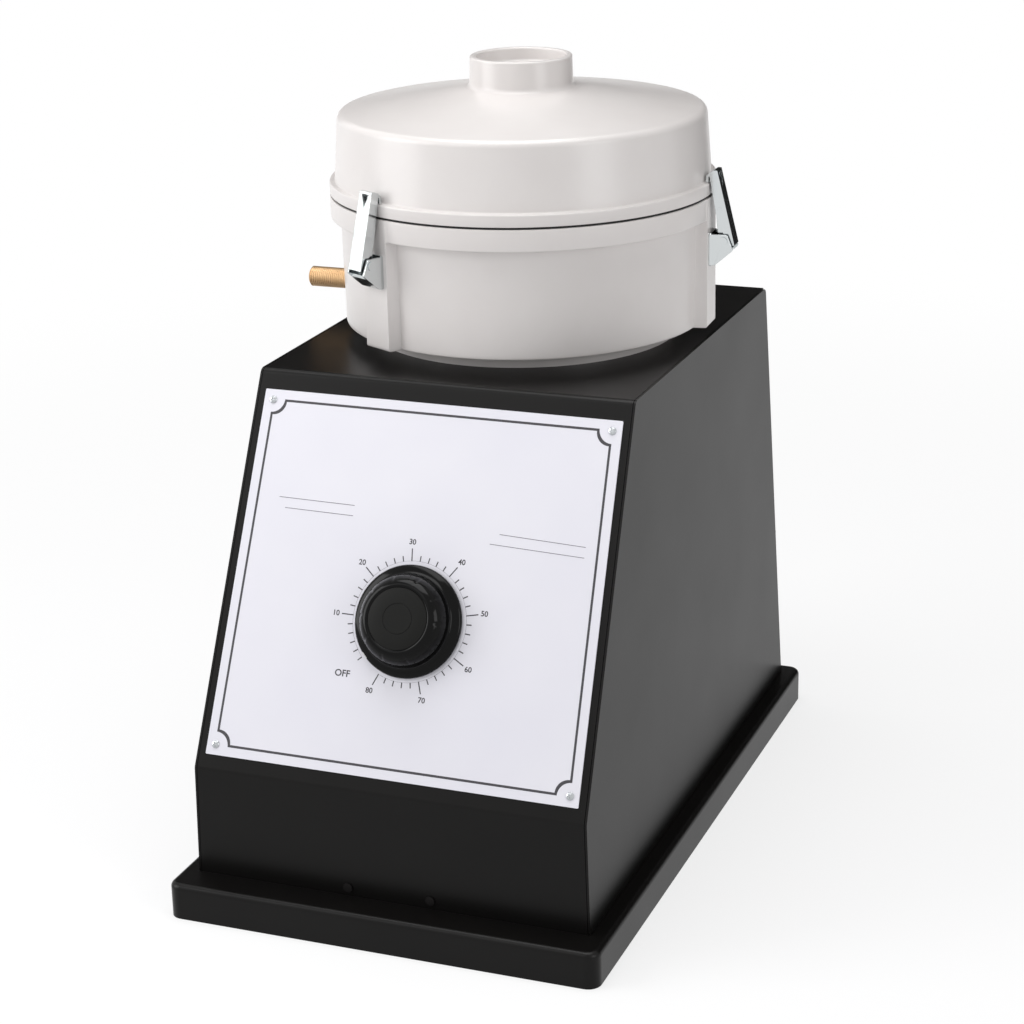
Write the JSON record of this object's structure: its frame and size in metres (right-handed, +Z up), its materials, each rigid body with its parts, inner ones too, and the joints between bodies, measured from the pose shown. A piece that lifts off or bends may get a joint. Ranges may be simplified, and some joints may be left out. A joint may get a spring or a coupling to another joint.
{
  "type": "centrifuge extractor",
  "caption": "Bench centrifuge extractor: sloped dial panel on a black housing, cast drum with latched lid, filler neck, drain nipple and motor-driven rotor bowl.",
  "frame": {"origin": "on the bench under the rotor spindle", "axes": "+Z up along the spindle, -Y out of the dial panel at the front, +X to the right seen from the front"},
  "size_m": [0.3185, 0.496, 0.5378],
  "materials": {
    "black_paint": "satin",
    "cast_grey": "smooth",
    "plate_silver": "satin",
    "chrome": "polished",
    "brass": "worn",
    "steel": "plain",
    "dark_steel": "blackened",
    "aluminium": "machined",
    "motor_paint": "plain",
    "copper": "enamelled wire",
    "rubber": "plain",
    "filter_paper": "plain",
    "phenolic": "polished",
    "cap_grey": "matte",
    "black_plastic": "matte",
    "ceramic": "glazed"
  },
  "bodies": {
    "housing": {"base_tray": "black_paint", "bottom_plate": "black_paint", "bottom_screws": "steel", "brake_resistor": "ceramic", "casing_front": "black_paint", "casing_screws": "dark_steel", "deck_plate": "aluminium", "deck_rails": "aluminium", "deck_screws": "steel", "dial_plate": "plate_silver", "drain_nipple": "brass", "drum": "cast_grey", "drum_bolts": "steel", "drum_gasket": "rubber", "fuse_holder": "black_plastic", "latch_bracket_1": "chrome", "latch_bracket_2": "chrome", "latch_bracket_3": "chrome", "latch_bracket_pins": "chrome", "latch_rivets": "chrome", "motor_bolts": "steel", "motor_case": "motor_paint", "motor_front_bell": "aluminium", "motor_rear_bell": "aluminium", "panel_bush": "steel", "plate_screws": "steel", "power_inlet": "black_plastic", "rear_panel": "black_paint", "shaft_bearings": "steel", "shaft_seal": "rubber", "side_panel_left": "black_paint", "side_panel_right": "black_paint", "stator_core": "motor_paint", "stator_windings": "copper", "terminal_block": "black_plastic", "variac_coil": "copper", "variac_frame": "aluminium"},
    "rotor": {"motor_shaft": "steel", "rotor_core": "aluminium", "cooling_fan": "black_plastic", "bowl_hub": "aluminium", "bowl_floor": "aluminium", "rotor_bowl": "aluminium", "filter_ring": "filter_paper"},
    "bowl_cover": {"bowl_cover": "aluminium"},
    "clamp_nut": {"clamp_nut": "aluminium"},
    "lid": {"lid": "cast_grey"},
    "speed_knob": {"speed_knob": "phenolic", "knob_cap": "cap_grey", "knob_shaft": "steel", "brush_arm": "black_plastic"},
    "latch_link_1": {"latch_link_1": "chrome"},
    "latch_lever_1": {"latch_lever_1": "chrome", "latch_lever_pin_1": "chrome"},
    "latch_link_2": {"latch_link_2": "chrome"},
    "latch_lever_2": {"latch_lever_2": "chrome", "latch_lever_pin_2": "chrome"},
    "latch_link_3": {"latch_link_3": "chrome"},
    "latch_lever_3": {"latch_lever_3": "chrome", "latch_lever_pin_3": "chrome"}
  },
  "joints": [
    {"name": "rotor_spin", "type": "hinge", "parent": "housing", "child": "rotor", "pos_m": [0, 0, 0.4], "axis": [0, 0, 1], "continuous": true},
    {"name": "bowl_cover_lift", "type": "slide", "parent": "rotor", "child": "bowl_cover", "axis": [0, 0, 1], "range_m": [0, 0.025]},
    {"name": "clamp_nut_turn", "type": "hinge", "parent": "bowl_cover", "child": "clamp_nut", "pos_m": [0, 0, 0.472], "axis": [0, 0, 1], "continuous": true},
    {"name": "lid_lift", "type": "slide", "parent": "housing", "child": "lid", "axis": [0, 0, 1], "range_m": [0, 0.15]},
    {"name": "speed_knob_turn", "type": "hinge", "parent": "housing", "child": "speed_knob", "pos_m": [0, -0.22159, 0.20418], "axis": [0, 0.9003, -0.4354], "range_deg": [0, 336]},
    {"name": "latch_link_1_swing", "type": "hinge", "parent": "housing", "child": "latch_link_1", "pos_m": [0.1444, 0.00757, 0.4165], "axis": [-0.0523, 0.9986, 0], "range_deg": [0, 100]},
    {"name": "latch_lever_1_swing", "type": "hinge", "parent": "latch_link_1", "child": "latch_lever_1", "pos_m": [0.14131, 0.00741, 0.438], "axis": [-0.0523, 0.9986, 0], "range_deg": [-60, 0]},
    {"name": "latch_link_2_swing", "type": "hinge", "parent": "housing", "child": "latch_link_2", "pos_m": [-0.07876, 0.12127, 0.4165], "axis": [-0.8387, -0.5446, 0], "range_deg": [0, 100]},
    {"name": "latch_lever_2_swing", "type": "hinge", "parent": "latch_link_2", "child": "latch_lever_2", "pos_m": [-0.07707, 0.11867, 0.438], "axis": [-0.8387, -0.5446, 0], "range_deg": [-60, 0]},
    {"name": "latch_link_3_swing", "type": "hinge", "parent": "housing", "child": "latch_link_3", "pos_m": [-0.06565, -0.12884, 0.4165], "axis": [0.891, -0.454, 0], "range_deg": [0, 100]},
    {"name": "latch_lever_3_swing", "type": "hinge", "parent": "latch_link_3", "child": "latch_lever_3", "pos_m": [-0.06424, -0.12608, 0.438], "axis": [0.891, -0.454, 0], "range_deg": [-60, 0]}
  ],
  "couplings": [
    {"joint": "latch_lever_1_swing", "follows": "latch_link_1_swing", "ratio": -0.6},
    {"joint": "latch_lever_2_swing", "follows": "latch_link_2_swing", "ratio": -0.6},
    {"joint": "latch_lever_3_swing", "follows": "latch_link_3_swing", "ratio": -0.6}
  ]
}
